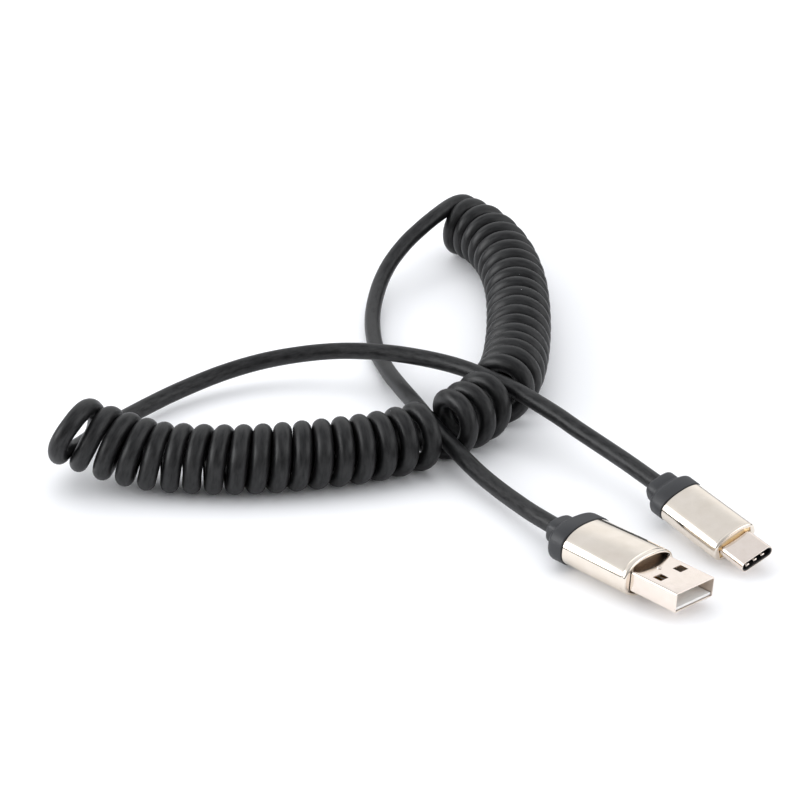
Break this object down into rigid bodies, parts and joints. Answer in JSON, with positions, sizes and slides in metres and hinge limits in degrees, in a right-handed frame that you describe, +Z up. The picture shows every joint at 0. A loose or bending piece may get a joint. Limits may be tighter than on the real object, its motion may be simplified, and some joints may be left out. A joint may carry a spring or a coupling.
{
  "type": "coiled usb c cable",
  "caption": "Curly black cord with a metal USB-A plug on one straight lead and a metal USB-C plug on the other, lying loosely bent.",
  "frame": {"origin": "middle of the underside of the whole cable's bounding box, on the surface it lies on", "axes": "+Z up from the surface, +X to the right and +Y away as the cable is seen in the picture"},
  "size_m": [0.1538, 0.1824, 0.0197],
  "materials": {
    "cord_rubber": "matte",
    "boot_plastic": "matte",
    "housing_nickel": "satin champagne nickel",
    "shell_nickel": "bright nickel",
    "tongue_plastic": "smooth white",
    "liner_plastic": "smooth black",
    "contact_gold": "gold plated"
  },
  "bodies": {
    "root": {"coil": "cord_rubber", "lead_a": "cord_rubber", "lead_c": "cord_rubber", "usb_a_boot": "boot_plastic", "usb_a_housing": "housing_nickel", "usb_a_shell": "shell_nickel", "usb_a_tongue": "tongue_plastic", "usb_a_contact_1": "contact_gold", "usb_a_contact_2": "contact_gold", "usb_a_contact_3": "contact_gold", "usb_a_contact_4": "contact_gold", "usb_c_boot": "boot_plastic", "usb_c_housing": "housing_nickel", "usb_c_shell": "shell_nickel", "usb_c_liner": "liner_plastic", "usb_c_spring_upper_1": "shell_nickel", "usb_c_spring_upper_2": "shell_nickel", "usb_c_spring_upper_3": "shell_nickel", "usb_c_spring_lower_1": "shell_nickel", "usb_c_spring_lower_2": "shell_nickel", "usb_c_spring_lower_3": "shell_nickel"}
  },
  "joints": []
}
